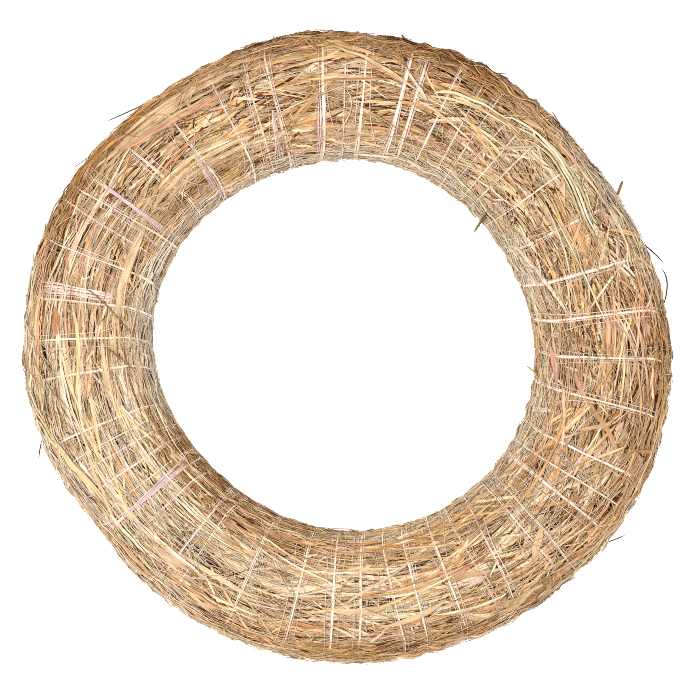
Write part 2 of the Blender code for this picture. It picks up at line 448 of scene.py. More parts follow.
def build_mesh(name, vertices, quads, tones, grain, smooth, triangles=NO_TRIANGLES):
    """A mesh with a colour and a place in the stem's grain at each vertex."""
    mesh = bpy.data.meshes.new(name)
    mesh.vertices.add(len(vertices))
    mesh.vertices.foreach_set("co", vertices.astype(np.float32).ravel())
    loops = np.concatenate((quads.ravel(), triangles.ravel()))
    starts = (np.arange(0, quads.size, 4), quads.size + np.arange(0, triangles.size, 3))
    mesh.loops.add(len(loops))
    mesh.loops.foreach_set("vertex_index", loops.astype(np.int32))
    mesh.polygons.add(len(quads) + len(triangles))
    mesh.polygons.foreach_set("loop_start", np.concatenate(starts).astype(np.int32))
    mesh.update(calc_edges=True)
    flags = np.concatenate((smooth, np.zeros(len(triangles), bool)))
    mesh.polygons.foreach_set("use_smooth", flags)
    colours = np.concatenate((tones, np.ones((len(tones), 1))), 1)
    tint = mesh.attributes.new("tint", "FLOAT_COLOR", "POINT")
    tint.data.foreach_set("color", colours.astype(np.float32).ravel())
    place_in_grain = mesh.attributes.new("grain", "FLOAT_VECTOR", "POINT")
    place_in_grain.data.foreach_set("vector", grain.astype(np.float32).ravel())
    return mesh


def add_piece(name, mesh, material, node):
    """A piece of the object that rides on its one body and stands for a CAD node."""
    piece = bpy.data.objects.new(name, mesh)
    bpy.context.scene.collection.objects.link(piece)
    mesh.materials.append(material)
    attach(piece, "root")
    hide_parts(node)


# ---- hay
KINK_SHARE = 0.14
# Which angles round the section are underneath, and the share of the locks there that is laid.
UNDERNEATH = (225, 330)
UNDERSIDE_SHARE = 0.5
SPOTS_TRIED = 5
# How far a lock's lean drifts in matted hay, in degrees, and over what length.
LOCK_DRIFT = 9
DRIFT_SIZE = 0.030
HEIGHT_SPREAD = 0.0002
RISE = 0.0003
OWN_TONE_SHARE = 0.75
# Stems at least this thick for their width are shaded as round, and thinner ones as flat.
ROUND_FROM = 0.4


def wander(rng, slant, length, samples, kink, bend):
    """Paths of stems that run straight between kinks: distances along and across the ring."""
    count = len(slant)
    kinks = rng.normal(0, 1, (count, samples)) * (rng.random((count, samples)) < KINK_SHARE)
    spread = np.linspace(-0.5, 0.5, samples)[None, :]
    heading = np.cumsum(kinks * kink[:, None], axis=1) + bend[:, None] * spread
    heading += slant[:, None] - heading.mean(axis=1, keepdims=True)
    step = (length / (samples - 1))[:, None]
    along = np.cumsum(np.cos(heading), axis=1) * step
    across = np.cumsum(np.sin(heading), axis=1) * step
    middle = samples // 2
    return along - along[:, middle, None], across - across[:, middle, None]


# Darker stems are browner, and painted shade is browner too, as light bounced between stems
# would make it: each colour channel is darkened to its own power.
DARK_IS_BROWN = np.array([1.0, 1.5, 2.3])
WARMER = np.array([1.0, 0.1, -1.2])
ROSIER = np.array([0.5, -1.0, 0.5])
# How much stems differ in shade, and then in warmth and rosiness: from stem to stem, from patch
# to patch, how large the patches are, and a seed for them.
SHADE_SPREAD = 0.13
WARMTH = (0.035, 0.06, 0.026, 8)
ROSINESS = (0.025, 0.03, 0.018, 12)


def varied(rng, angle, around, own, patchy, size, seed):
    """Random values, about 0, that differ from stem to stem and from patch to patch."""
    return rng.normal(0.0, own, (len(angle), 1)) + patchy * ripple(angle, around, size, seed)[:, None]


def shades(rng, tone_index, angle, around, darker):
    """Colours of stems, with light and shade painted in: each a little lighter or darker, warmer or
    cooler than its tone.
    """
    shade = rng.normal(1.0, SHADE_SPREAD, (len(tone_index), 1))
    # Painted light and shade from where the stem lies; for layers in shade, or standing for shadows,
    # the layer's darkening is painted shade too.
    shade = shade * painted_light_at(angle, around)[:, None] * darker
    shade = np.maximum(shade, 0.1) ** DARK_IS_BROWN
    warmth = 1 + varied(rng, angle, around, *WARMTH) * WARMER
    rose = 1 + varied(rng, angle, around, *ROSINESS) * ROSIER
    return np.clip(TONES[tone_index] * shade * warmth * rose, DARKEST, PALEST)


def spots_for(rng, count, in_mess, region):
    """Places for locks: fewer underneath, and for some layers mostly where the hay is matted."""
    first, last, low, high = region
    tried = count * SPOTS_TRIED
    angle = rng.uniform(first, last, tried)
    around = around_at(rng.uniform(girth_at(low), girth_at(high), tried))
    under = (around > UNDERNEATH[0]) & (around < UNDERNEATH[1])
    chance = np.where(under, UNDERSIDE_SHARE, 1.0) * (1 - in_mess + in_mess * mess_at(angle, around))
    chosen = rng.random(tried) < chance
    return angle[chosen][:count], around[chosen][:count]


def stem_heights(rng, spec, lock_height, path_angle, path_around):
    """Heights along stems: bound down by the thread, and some with an end that stands up."""
    count = len(lock_height)
    spread = np.linspace(-1, 1, spec["samples"])[None, :]
    height = lock_height + rng.normal(0, HEIGHT_SPREAD, count)
    tilt_up = rng.normal(0, RISE, (count, 1)) * spread
    height = bound_height(path_angle, path_around, height[:, None] + tilt_up)
    lifted = rng.random(count) < spec["lifted"]
    lift = np.where(lifted, rng.uniform(0.3, 1.0, count) * spec["lift"], 0.0)[:, None]
    end = np.where(rng.random(count) < 0.5, 1.0, -1.0)[:, None]
    return height + lift * np.clip(spread * end, 0, 1) ** 3 - spec["sink"] * spread**6


def lay_hay(bundle, spec):
    """Lays stems round the ring in locks that share a direction, a height and partly a colour."""
    rng = np.random.default_rng(spec["seed"])
    lock_angle, lock_around = spots_for(
        rng, spec["count"] // spec["in_lock"], spec["in_mess"], spec["region"]
    )
    locks = len(lock_angle)
    # Where the hay is matted, locks lean further and their stems are shorter.
    lock_mess = mess_at(lock_angle, lock_around)
    drift = LOCK_DRIFT * lock_mess * ripple(lock_angle, lock_around, DRIFT_SIZE, seed=9)
    lock_slant = drift + rng.normal(0, spec["slant"], locks) * (0.25 + lock_mess)
    lock_height = rng.uniform(*spec["heights"], locks)
    shares = TONE_SHARES[: spec["tones"]] / TONE_SHARES[: spec["tones"]].sum()
    lock_tone = rng.choice(len(shares), locks, p=shares)
    lock_length = rng.uniform(*spec["lengths"], locks) * (1.25 - 0.45 * lock_mess)

    # From here on, each value is one stem's.
    lock = np.repeat(np.arange(locks), spec["in_lock"])
    count = len(lock)
    middle_radius, half_width = rims_at(lock_angle[lock])
    length = lock_length[lock] * rng.uniform(0.7, 1.15, count)
    angle = lock_angle[lock] + np.degrees(rng.normal(0, 0.3, count) * length / middle_radius)
    girth = girth_at(lock_around[lock]) + rng.normal(0, spec["lock_width"], count)
    around = around_at(girth)
    mess = 0.2 + mess_at(angle, around)
    along, across = wander(
        rng,
        np.radians(lock_slant[lock] + rng.normal(0, spec["spread"], count) * mess),
        length,
        spec["samples"],
        np.radians(spec["kink"]) * mess,
        np.radians(rng.normal(0, spec["bend"], count)) * mess,
    )
    path_around = around_at(girth[:, None] + across)
    x_there, _, _, _ = section(path_around, half_width[:, None])
    path_angle = angle[:, None] + np.degrees(along / (middle_radius[:, None] + x_there))
    height = stem_heights(rng, spec, lock_height[lock], path_angle, path_around)
    points, normals = place(path_angle, path_around, height)

    spread = np.linspace(-1, 1, spec["samples"])[None, :]
    width = rng.uniform(*spec["widths"], count) * rng.uniform(0.75, 1.0, count)
    widths = width[:, None] * (1 - spec["taper"] * np.abs(spread) ** spec["taper_power"])
    tilts = rng.normal(0, spec["tilt"], (count, 1))
    twists = tilts + spread * rng.normal(0, spec["twist"], (count, 1))
    own = rng.random(count) < OWN_TONE_SHARE
    tone = np.where(own, rng.choice(len(shares), count, p=shares), lock_tone[lock])
    bundle.add(
        points,
        normals,
        widths,
        widths * spec["flatness"],
        twists,
        shades(rng, tone, angle, around, spec["darker"]),
        (angle, around),
        sides=spec["sides"],
        round_=spec["flatness"] > ROUND_FROM,
    )


def layer(seed, count, samples, **changes):
    """The usual values of a layer of stems, with its own changes.

    in_lock is how many stems share a lock, slant, spread, kink and bend are angles, tones is how
    many of the tones are used, and sink is how far a stem's ends dive.
    """
    spec = {
        "seed": seed, "count": count, "samples": samples, "in_lock": 5, "lock_width": 0.0024,
        "slant": 5, "spread": 3, "kink": 4, "bend": 6, "heights": (-0.0018, -0.0006),
        "lengths": (0.035, 0.095), "in_mess": 0.0, "lifted": 0.05, "lift": 0.0016,
        "widths": (0.0006, 0.0012), "taper": 0.7, "taper_power": 8, "flatness": 0.6,
        "tilt": 0.3, "twist": 0.4, "darker": 1.0, "region": (-180, 180, 0, 360), "sides": 4,
        "tones": len(TONES), "sink": 0.0002,
    }
    spec.update(changes)
    return spec


# What the layers of broad leaves, and the painted shade of hollows, have in common.
BROAD = {"in_lock": 2, "tilt": 0.08, "kink": 2, "taper": 0.9, "tones": 6}
HOLLOW_SHADE = {
    "heights": (-0.0006, 0.0003), "flatness": 0.3, "kink": 10, "bend": 30, "darker": 0.18,
    "sides": 3,
}


LAYERS = (
    # Packed stems near the bed, painted darker for the shade they lie in.
    layer(11, 2600, 9, heights=(-0.0038, -0.0024), widths=(0.0008, 0.0018), darker=0.42, sides=3),
    # Broad leaves pressed flat along the ring, under the stems.
    layer(12, 420, 13, **BROAD, heights=(-0.0026, -0.0013), widths=(0.0014, 0.0032),
          lengths=(0.055, 0.130), flatness=0.06, spread=2, twist=0.15, taper_power=5,
          darker=0.82, sink=0.0010),
    # Flattened stems, which are most of the face.
    layer(13, 4500, 13, in_lock=8, heights=(-0.0028, -0.0004), widths=(0.0006, 0.0017),
          flatness=0.22, lengths=(0.035, 0.105), tilt=0.15, twist=0.25, lock_width=0.0021,
          kink=3),
    # Round stems.
    layer(14, 2600, 12, in_lock=7, heights=(-0.0024, -0.0002), widths=(0.0005, 0.0009),
          lengths=(0.035, 0.100), lock_width=0.0018, kink=3),
    # Broad pale leaves on the face.
    layer(15, 480, 13, **BROAD, heights=(-0.0011, -0.0001), widths=(0.0014, 0.0034),
          lengths=(0.035, 0.105), flatness=0.07, slant=6, twist=0.12, taper_power=4,
          darker=0.92, sink=0.0012),
    # Narrow leaves and split straws, at angles where the hay is matted.
    layer(16, 1900, 9, in_lock=3, heights=(-0.0012, 0.0004), widths=(0.0008, 0.0020),
          lengths=(0.012, 0.050), flatness=0.12, slant=24, spread=8, kink=8, twist=0.7,
          taper=0.8, taper_power=5, lifted=0.2, lift=0.0022, in_mess=0.7, tones=6),
    # Long fine stems, which are pale.
    layer(17, 3500, 11, in_lock=3, heights=(-0.0009, 0.0004), widths=(0.00028, 0.00062),
          lengths=(0.025, 0.080), flatness=0.9, slant=9, spread=6, bend=12,
          lifted=0.1, lift=0.0020, darker=1.14, sides=3),
    # Short fine stems.
    layer(21, 4200, 7, in_lock=3, heights=(-0.0014, 0.0004), widths=(0.00028, 0.00058),
          lengths=(0.008, 0.035), flatness=0.9, slant=22, spread=14, kink=8, bend=24,
          lifted=0.2, lift=0.0024, in_mess=0.4, sides=3),
    # Loose stems, which lie across the thread too.
    layer(18, 1600, 9, in_lock=1, heights=(0.0002, 0.0012), widths=(0.00022, 0.0006),
          lengths=(0.012, 0.050), flatness=0.9, slant=34, spread=10, kink=10, bend=40,
          lifted=0.4, lift=0.0034, in_mess=0.5, darker=1.05, tones=7, sides=3),
    # Stems and leaves laid over the thread in places.
    layer(22, 1000, 11, heights=(0.0003, 0.0010), widths=(0.0004, 0.0013),
          lengths=(0.016, 0.055), flatness=0.4, slant=8, spread=5, lock_width=0.0022, tones=7),
    # Painted shadow: dark stems that show as thin shadow lines between the pale ones.
    layer(25, 4700, 6, in_lock=4, heights=(-0.0016, 0.0001), widths=(0.00032, 0.00085),
          lengths=(0.003, 0.016), flatness=0.5, slant=14, spread=8, kink=8, bend=20,
          darker=0.18, lock_width=0.0018, sides=3),
    # Painted shade in hollows where the hay is broken: dark short stems, upper left, top and right.
    layer(26, 120, 6, **HOLLOW_SHADE, in_lock=3, widths=(0.0005, 0.0010), lengths=(0.004, 0.013),
          slant=22, spread=12, lock_width=0.0016, region=(98, 150, 72, 100)),
    layer(27, 140, 6, **HOLLOW_SHADE, in_lock=3, widths=(0.0004, 0.0009), lengths=(0.004, 0.014),
          slant=16, spread=10, lock_width=0.0014, region=(66, 116, 78, 108)),
    layer(28, 270, 6, **HOLLOW_SHADE, in_lock=4, widths=(0.0005, 0.0011), lengths=(0.003, 0.012),
          slant=28, spread=14, lock_width=0.0018, region=(-22, 44, 40, 128)),
    # Chaff: short broken bits of leaf and stem.
    layer(19, 5000, 4, in_lock=3, heights=(-0.0016, 0.0004), widths=(0.0004, 0.0015),
          lengths=(0.002, 0.009), flatness=0.2, slant=45, spread=30, kink=18, bend=30,
          lifted=0.4, lift=0.0014, tilt=0.6, twist=0.8, taper=0.6, lock_width=0.0040,
          in_mess=0.5),
    # Curled fibres.
    layer(20, 2000, 9, in_lock=3, heights=(-0.0008, 0.0006), widths=(0.0002, 0.00042),
          lengths=(0.008, 0.024), flatness=0.9, slant=45, spread=30, kink=20, bend=150,
          lifted=0.3, in_mess=0.95, sides=3),
    # A mat of brown fibres inside the ring, lower left.
    layer(23, 700, 8, in_lock=4, heights=(-0.0004, 0.0008), widths=(0.0002, 0.0005),
          lengths=(0.006, 0.022), flatness=0.9, slant=45, spread=25, kink=16, bend=120,
          darker=0.66, region=(-158, -130, 122, 168), sides=3),
    # Pale curls between the tufts of the upper edge.
    layer(29, 700, 9, in_lock=3, heights=(-0.0002, 0.0010), widths=(0.0003, 0.0007),
          lengths=(0.006, 0.022), flatness=0.7, slant=35, spread=25, kink=14, bend=90,
          lifted=0.4, darker=1.1, region=(28, 118, 4, 52), sides=3),
    # Dark tufts on the outside, along the upper edge.
    layer(24, 460, 7, in_lock=4, heights=(-0.0004, 0.0014), widths=(0.0003, 0.0008),
          lengths=(0.005, 0.020), slant=35, spread=20, kink=14, bend=60, lifted=0.6,
          lift=0.0022, darker=0.34, region=(56, 114, -6, 28), sides=3),
)

# Stems and leaves that stand out: colour, width, flatness, height over the hay, and a route
# of angles round the ring and round the section.
FEATURES = (
    # Upper left: tan leaves over the outer shoulder, a salmon one beside them, and three inside.
    ((224, 188, 146), 0.0040, 0.05, 0.0003, ((146, 43), (133, 54), (120, 53), (108, 59))),
    ((232, 196, 152), 0.0026, 0.07, 0.0004, ((140, 38), (128, 46), (116, 45), (103, 50))),
    ((216, 180, 132), 0.0018, 0.10, 0.0005, ((150, 52), (138, 58), (124, 61), (112, 65))),
    ((216, 160, 126), 0.0024, 0.08, 0.0008, ((140, 57), (128, 69), (112, 72))),
    ((216, 178, 138), 0.0016, 0.10, 0.0011, ((136, 60), (127, 66), (118, 67))),
    ((226, 194, 148), 0.0022, 0.08, 0.0005, ((149, 111), (136, 105), (123, 106), (111, 109))),
    ((234, 206, 152), 0.0014, 0.12, 0.0007, ((150, 104), (137, 99), (124, 100), (109, 103))),
    ((218, 180, 136), 0.0018, 0.10, 0.0005, ((147, 116), (135, 111), (122, 112), (108, 115))),
    # Left: a broad peach leaf inside, long straws down the face and a brown leaf.
    ((234, 200, 160), 0.0042, 0.05, 0.0005, ((149, 112), (157, 114), (167, 116), (175, 115))),
    ((236, 208, 152), 0.0017, 0.15, 0.0005, ((171, 82), (180, 88), (191, 81))),
    ((236, 204, 158), 0.0026, 0.08, 0.0003, ((178, 104), (187, 103), (194, 103))),
    ((232, 198, 150), 0.0022, 0.10, 0.0003, ((167, 31), (174, 36), (181, 36))),
    ((200, 140, 96), 0.0034, 0.08, 0.0009, ((172, 68), (175, 71), (178, 70))),
    ((206, 142, 104), 0.0014, 0.12, 0.0008, ((161, 67), (163, 70), (165, 74))),
    ((156, 128, 84), 0.0007, 0.50, 0.0010, ((167, 87), (171, 109), (176, 129))),
    ((156, 128, 84), 0.0007, 0.50, 0.0010, ((180, 104), (183, 119), (187, 133))),
    ((40, 24, 12), 0.0022, 0.20, 0.0000, ((180, 58), (183, 56))),
    # Lower left: straws that slant in, and a pale leaf with tan ones beside it.
    ((236, 208, 160), 0.0016, 0.30, 0.0009, ((-173, 15), (-160, 50), (-146, 62))),
    ((226, 190, 140), 0.0013, 0.40, 0.0008, ((-171, 19), (-158, 54), (-145, 65))),
    ((240, 216, 170), 0.0018, 0.30, 0.0006, ((-170, 10), (-160, 46), (-148, 58))),
    ((236, 216, 198), 0.0017, 0.10, 0.0009, ((-141, 76), (-132, 78), (-121, 77))),
    ((226, 190, 152), 0.0028, 0.06, 0.0005, ((-136, 71), (-130, 72), (-125, 74))),
    ((232, 200, 160), 0.0024, 0.08, 0.0004, ((-130, 80), (-120, 82), (-109, 80))),
    # Upper right: a bundle of pale stems, a brown leaf outside it and a curved leaf inside.
    ((236, 220, 184), 0.0013, 0.40, 0.0010, ((71, 83), (66, 75), (54, 70))),
    ((232, 206, 156), 0.0012, 0.40, 0.0008, ((72, 86), (64, 79), (52, 74))),
    ((240, 228, 196), 0.0012, 0.40, 0.0011, ((56, 71), (44, 62), (32, 71), (25, 74))),
    ((234, 216, 178), 0.0011, 0.40, 0.0010, ((54, 74), (43, 65), (33, 73), (24, 77))),
    ((226, 204, 150), 0.0011, 0.40, 0.0009, ((52, 68), (42, 60), (32, 67), (26, 70))),
    ((240, 216, 168), 0.0009, 0.50, 0.0010, ((50, 77), (42, 69), (33, 76), (27, 80))),
    ((206, 162, 120), 0.0036, 0.07, 0.0003, ((54, 59), (49, 54), (43, 47), (38, 50))),
    ((218, 194, 154), 0.0011, 0.20, 0.0005, ((57, 98), (52, 90), (48, 78), (46, 65))),
    ((230, 194, 130), 0.0012, 0.40, 0.0010, ((66, 33), (61, 27), (57, 42), (52, 17))),
    # Top: straws that fan out from the edge, a long curved one, a brown leaf and dark stems.
    ((236, 204, 158), 0.0015, 0.25, 0.0009, ((91, 55), (86, 65), (81, 75), (74, 85))),
    ((230, 196, 150), 0.0013, 0.30, 0.0008, ((93, 51), (89, 59), (84, 68))),
    ((186, 132, 92), 0.0040, 0.08, 0.0003, ((99, 44), (98, 50), (96, 55))),
    ((234, 208, 166), 0.0008, 0.50, 0.0012, ((108, 100), (98, 93), (90, 88))),
    ((232, 208, 166), 0.0007, 0.50, 0.0013, ((91, 89), (89, 104), (93, 125), (100, 138), (107, 155))),
    ((64, 38, 22), 0.0008, 0.30, 0.0000, ((90, 97), (82, 95), (74, 94))),
    ((70, 42, 24), 0.0007, 0.30, 0.0001, ((88, 101), (80, 99), (73, 99))),
    ((60, 36, 20), 0.0009, 0.30, -0.0002, ((110, 85), (104, 81), (99, 77))),
    ((56, 34, 20), 0.0009, 0.30, -0.0002, ((118, 92), (112, 88), (106, 86))),
    # Lower right: leaves that slant out across the ring, and a long pale straw below them.
    ((216, 178, 136), 0.0034, 0.08, 0.0003, ((-42, 90), (-46, 82), (-49, 74))),
    ((222, 182, 132), 0.0026, 0.10, 0.0003, ((-62, 46), (-57, 45), (-51, 47))),
    ((214, 180, 132), 0.0024, 0.10, 0.0004, ((-59, 58), (-55, 50), (-49, 47))),
    ((150, 124, 88), 0.0012, 0.30, 0.0006, ((-49, 60), (-52, 38), (-57, 31))),
    ((184, 156, 112), 0.0014, 0.30, 0.0007, ((-48, 57), (-51, 35), (-56, 27))),
    ((220, 178, 134), 0.0030, 0.08, 0.0003, ((-65, 97), (-60, 108), (-51, 118))),
    ((214, 172, 126), 0.0022, 0.10, 0.0005, ((-67, 92), (-61, 89), (-55, 84))),
    ((238, 212, 178), 0.0014, 0.25, 0.0008, ((-72, 72), (-64, 66), (-57, 62))),
    ((226, 190, 150), 0.0030, 0.08, 0.0005, ((-96, 86), (-88, 84), (-80, 88))),
    ((228, 196, 152), 0.0026, 0.08, 0.0005, ((-84, 70), (-76, 74), (-69, 80))),
    ((206, 138, 98), 0.0016, 0.12, 0.0007, ((-101, 71), (-98, 70), (-95, 69))),
    ((210, 146, 108), 0.0013, 0.12, 0.0007, ((-93, 72), (-90, 73), (-88, 73))),
    ((222, 166, 126), 0.0018, 0.12, 0.0006, ((-101, 111), (-98, 109), (-96, 105))),
    ((230, 202, 164), 0.0012, 0.35, 0.0010, ((-93, 83), (-87, 94), (-80, 104), (-73, 116))),
    ((214, 158, 104), 0.0014, 0.15, 0.0007, ((-33, 98), (-31, 101), (-29, 103))),
    ((208, 150, 104), 0.0013, 0.15, 0.0007, ((-27, 101), (-25, 104), (-23, 108))),
    # Right: the long straw, curved leaves, salmon leaves and what lies between them.
    ((250, 236, 194), 0.0009, 0.60, 0.0014, ((33, 93), (19, 94), (5, 89))),
    ((222, 176, 124), 0.0024, 0.15, 0.0008, ((24, 61), (22, 40), (19, 14))),
    ((224, 172, 134), 0.0026, 0.10, 0.0010, ((7, 88), (-1, 90))),
    ((230, 166, 150), 0.0030, 0.10, 0.0009, ((1, 141), (-4, 136), (-10, 131))),
    ((236, 176, 146), 0.0022, 0.10, 0.0006, ((-6, 114), (-9, 109), (-12, 102))),
    ((184, 146, 104), 0.0008, 0.50, 0.0008, ((4, 99), (-1, 93), (-8, 79))),
    ((180, 140, 100), 0.0007, 0.50, 0.0008, ((5, 122), (1, 105), (-2, 92))),
    ((240, 196, 160), 0.0016, 0.30, 0.0008, ((-9, 125), (-17, 117), (-25, 108))),
    ((206, 160, 116), 0.0022, 0.12, 0.0005, ((-12, 100), (-17, 87), (-22, 68))),
    ((214, 172, 128), 0.0018, 0.12, 0.0007, ((-15, 82), (-18, 92), (-20, 104))),
    ((186, 138, 94), 0.0020, 0.15, 0.0006, ((-20, 60), (-19, 36), (-18, 8))),
)
# Straws that stick out past the edge: colour, width, and a route with heights.
STRAYS = (
    ((138, 132, 104), 0.0009, ((137, 2, 0.0062), (132, 2, 0.0022), (127, 4, -0.0004))),
    ((170, 130, 84), 0.0006, ((147, 2, 0.0036), (143, 4, 0.0002))),
    ((150, 116, 76), 0.0013, ((42, 178, 0.0060), (44, 144, 0.0006))),
    ((110, 84, 52), 0.0006, ((46, 22, 0.0004), (49, 3, 0.0026))),
    ((206, 190, 116), 0.0012, ((-6, 178, 0.0044), (-9, 162, 0.0004))),
    ((96, 72, 50), 0.0008, ((19, 3, 0.0004), (15, 2, 0.0070))),
    ((96, 70, 50), 0.0008, ((14, 2, 0.0045), (11, 2, 0.0040), (7, 5, 0.0004))),
    ((150, 104, 64), 0.0020, ((29, 18, 0.0004), (31, 3, 0.0062))),
    ((104, 80, 54), 0.0008, ((-160, 2, 0.0054), (-163, 5, 0.0004))),
    ((104, 80, 54), 0.0007, ((-34, 2, 0.0050), (-37, 6, 0.0002))),
    ((90, 70, 40), 0.0012, ((80, 2, 0.0040), (79, 10, 0.0000))),
)
FEATURE_SAMPLES = 18
FEATURE_SINK = 0.0008
FEATURE_TWIST = 0.25
STRAY_FLATNESS = 0.9
# Leaves flatter than this end in a point.
POINTED_BELOW = 0.2


def smooth_route(route, samples):
    """A smooth curve through a few points."""
    route = np.array(route, float)
    knots = np.linspace(0, 1, len(route))
    degree = len(route) - 1
    at = np.linspace(0, 1, samples)
    return np.stack([np.polyval(np.polyfit(knots, r, degree), at) for r in route.T])


def lay_features(bundle):
    """The stems, leaves and stray straws that stand out."""
    spread = np.linspace(-1, 1, FEATURE_SAMPLES)
    for tone, width, flatness, height, route in FEATURES:
        angle, around = smooth_route(route, FEATURE_SAMPLES)
        heights = height - FEATURE_SINK * spread**8
        lay_single(bundle, angle, around, heights, width, flatness, tone)
    for tone, width, route in STRAYS:
        angle, around, height = smooth_route(route, FEATURE_SAMPLES)
        lay_single(bundle, angle, around, height, width, STRAY_FLATNESS, tone, springy=True)


def lay_single(bundle, angle, around, height, width, flatness, tone, springy=False):
    """One stem or leaf along a route. A springy one bends gently, whatever bumps the hay has."""
    spread = np.linspace(-1, 1, len(angle))
    points, normals = place(angle, around, height)
    if springy:
        axes = [np.polyval(np.polyfit(spread, axis, 2), spread) for axis in points.T]
        points = np.stack(axes, -1)
    pointed = 0.92 * np.abs(spread) ** 2.5
    blunt = 0.75 * np.abs(spread) ** 4
    widths = width * (1 - (pointed if flatness < POINTED_BELOW else blunt))
    middle = len(angle) // 2
    bundle.add_one(
        points,
        normals,
        widths,
        widths * flatness,
        FEATURE_TWIST * spread,
        FEATURE_PALENESS * np.array(linear(*tone)),
        home=(angle[middle], around[middle]),
        round_=flatness > ROUND_FROM,
    )


def make_hay():
    """All the loose hay, before it is shared out between the wisps."""
    bundle = Bundle()
    for spec in LAYERS:
        lay_hay(bundle, spec)
    lay_features(bundle)
    return bundle


BED_DEPTH = 0.0038
BED_BACK_DEPTH = 0.009
BED_ROWS_PER_DEGREE = 1.0
BED_COLUMN_STEP = 5.0
BED_BUMPS = 0.0002


def bed_mesh(name, first, last, low, high):
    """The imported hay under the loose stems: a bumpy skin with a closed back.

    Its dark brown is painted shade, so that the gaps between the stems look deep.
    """
    rows = int((last - first) * BED_ROWS_PER_DEGREE) + 1
    columns = int((high - low) / BED_COLUMN_STEP) + 1
    angle, around = np.meshgrid(
        np.linspace(first, last, rows), np.linspace(low, high, columns), indexing="ij"
    )
    bumps = np.sin(np.radians(around * 31)) * np.sin(np.radians(angle * 40 + around * 3))
    skin, _ = place(angle, around, BED_BUMPS * bumps - BED_DEPTH)
    back, _ = place(angle, around, np.full_like(angle, -BED_BACK_DEPTH))
    vertices = np.concatenate((skin.reshape(-1, 3), back.reshape(-1, 3)))
    vertices[:, 2] = np.maximum(vertices[:, 2], LOWEST_HAY)
    index = np.arange(rows * columns).reshape(rows, columns)
    skin_quads = np.stack((index[:-1, :-1], index[1:, :-1], index[1:, 1:], index[:-1, 1:]), -1)
    back_quads = skin_quads[..., ::-1] + rows * columns
    rims = []
    for edge in (index[0, :], index[::-1, -1], index[-1, ::-1], index[:, 0]):
        here, there = edge[:-1], edge[1:]
        rims.append(np.stack((here, there, there + rows * columns, here + rows * columns), -1))
    quads = np.concatenate([skin_quads.reshape(-1, 4), back_quads.reshape(-1, 4), *rims])
    grain = np.stack((np.radians(angle) * OUTER_RADIUS, girth_at(around), 0 * angle), -1)
    return build_mesh(
        name,
        vertices,
        quads,
        np.tile(BED_SHADE_TONE, (len(vertices), 1)),
        np.tile(grain.reshape(-1, 3), (2, 1)),
        np.ones(len(quads), bool),
    )


# ---- film thread
FILM_STEPS = 48
FILM_HEIGHT = 0.0004
FILM_THICKNESS = 0.00010
FILM_KNOT_STEPS = 8
# Each filament lies this much over the one before. Between knots it dives this far at most, and
# on the outer shoulder of the ring the hay covers it this deep.
FILM_STEP_UP = 0.0001
FILM_DIVE = 0.0012
FILM_COVERED = 0.0024
COVERED_AT = 25
COVERED_REACH = 30
FANNED_AT = 150
FANNED_REACH = 34
FILM_TONES = (linear(202, 182, 160), linear(192, 169, 149), linear(182, 158, 149))
# Where the film has split into a broad fan: colour, how wide its filaments are, how broad each
# end is in degrees round the ring, and a route of angles round the ring and section.
FILM_FANS = (
    ((166, 140, 146), 0.00040, 0.25, 2.6, ((-142.2, 60), (-143.4, 95), (-144.2, 121), (-145.5, 165))),
    ((196, 168, 160), 0.00060, 1.8, 1.5, ((168.8, 45), (168.4, 82), (167.8, 112))),
    ((196, 170, 166), 0.00040, 0.7, 1.4, ((-17.0, 124), (-18.0, 146), (-19.0, 168))),
    ((194, 168, 168), 0.00036, 0.2, 1.0, ((146.0, 62), (146.8, 96), (148.0, 150))),
    ((186, 160, 154), 0.00036, 0.3, 2.4, ((96.0, 92), (97.0, 120), (98.0, 160))),
    ((186, 160, 154), 0.00036, 0.3, 2.2, ((107.0, 92), (108.5, 120), (110.0, 160))),
    ((186, 160, 154), 0.00036, 0.3, 2.0, ((128.0, 95), (129.0, 122), (130.0, 160))),
)
FAN_FILAMENTS = 7
FAN_SAMPLES = 24
FAN_WOBBLE_KNOTS = 5
FAN_HEIGHT = 0.0005
FAN_SINK = 0.0014
# Filaments of the split film: width, distance beside the middle one, how much it wanders and
# how far it sinks between the stems.
FILAMENTS = (
    (0.00068, 0.0, 0.0001, 0.45),
    (0.00034, 0.0007, 0.0003, 0.9),
    (0.00026, -0.0010, 0.0008, 1.3),
    (0.00024, 0.0030, 0.0018, 1.2),
    (0.00022, -0.0046, 0.0026, 1.1),
    (0.00020, 0.0060, 0.0032, 1.1),
)


def film_spread(around):
    """How far apart the filaments run: close together on the face, fanned out inside."""
    return 0.45 + 1.25 * bell(turned_from(around, FANNED_AT), FANNED_REACH)


